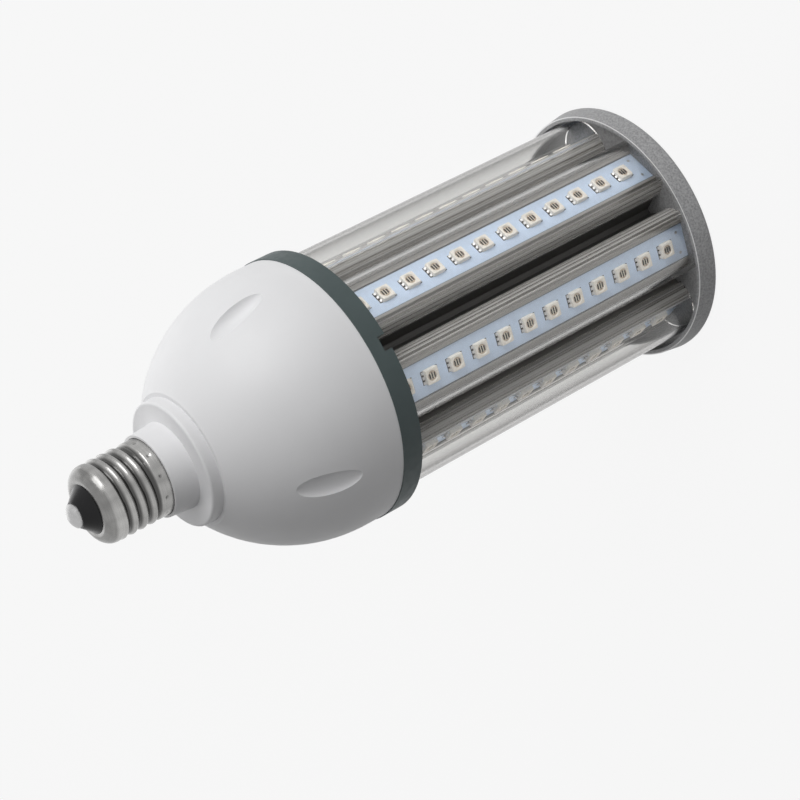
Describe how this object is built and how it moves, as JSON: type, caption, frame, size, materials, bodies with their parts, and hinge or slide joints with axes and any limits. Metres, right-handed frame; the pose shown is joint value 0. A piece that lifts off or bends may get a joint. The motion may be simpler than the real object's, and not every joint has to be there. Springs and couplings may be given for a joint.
{
  "type": "corn led bulb",
  "caption": "Tubular LED lamp with rows of LEDs behind clear covers on a finned aluminium body, a white driver dome and an E27 screw base; stands on its end cap.",
  "frame": {"origin": "centre of the end cap's outer face, on which the lamp stands", "axes": "+Z along the lamp's axis to the screw base; -Y towards the notch in the grey ring"},
  "size_m": [0.092, 0.092, 0.2326],
  "materials": {
    "cast_aluminium": "fine sandblasted casting",
    "extruded_aluminium": "drawn extrusion with lines along its length",
    "screw_steel": "plated",
    "board_white": "white solder mask with a cool cast",
    "led_cream": "moulded LED packages",
    "clear_cover": "clear extruded plastic",
    "grey_plastic": "slate grey moulding",
    "white_plastic": "white moulding, fine matte",
    "board_green": "green solder mask",
    "ferrite": "ferrite and tape",
    "can_black": "sleeved components",
    "lead_red": "insulated wire",
    "nickel_shell": "bright nickel over brass",
    "black_insulator": "black glass",
    "contact_metal": "soldered contact"
  },
  "bodies": {
    "root": {"end_cap": "cast_aluminium", "cap_screws": "screw_steel", "heat_sink": "extruded_aluminium", "link_board": "board_white", "lower_ring": "grey_plastic", "ring_screws": "screw_steel", "led_board_1": "board_white", "led_row_1": "led_cream", "cover_1": "clear_cover", "led_board_2": "board_white", "led_row_2": "led_cream", "cover_2": "clear_cover", "led_board_3": "board_white", "led_row_3": "led_cream", "cover_3": "clear_cover", "led_board_4": "board_white", "led_row_4": "led_cream", "cover_4": "clear_cover", "led_board_5": "board_white", "led_row_5": "led_cream", "cover_5": "clear_cover", "led_board_6": "board_white", "led_row_6": "led_cream", "cover_6": "clear_cover", "led_board_7": "board_white", "led_row_7": "led_cream", "cover_7": "clear_cover", "driver_housing": "white_plastic", "driver_board": "board_green", "driver_transformer": "ferrite", "driver_capacitor": "can_black", "driver_choke": "ferrite", "driver_rectifier": "can_black", "led_leads": "lead_red", "live_lead": "lead_red", "neutral_lead": "lead_red", "screw_shell": "nickel_shell", "base_insulator": "black_insulator", "centre_contact": "contact_metal"}
  },
  "joints": []
}
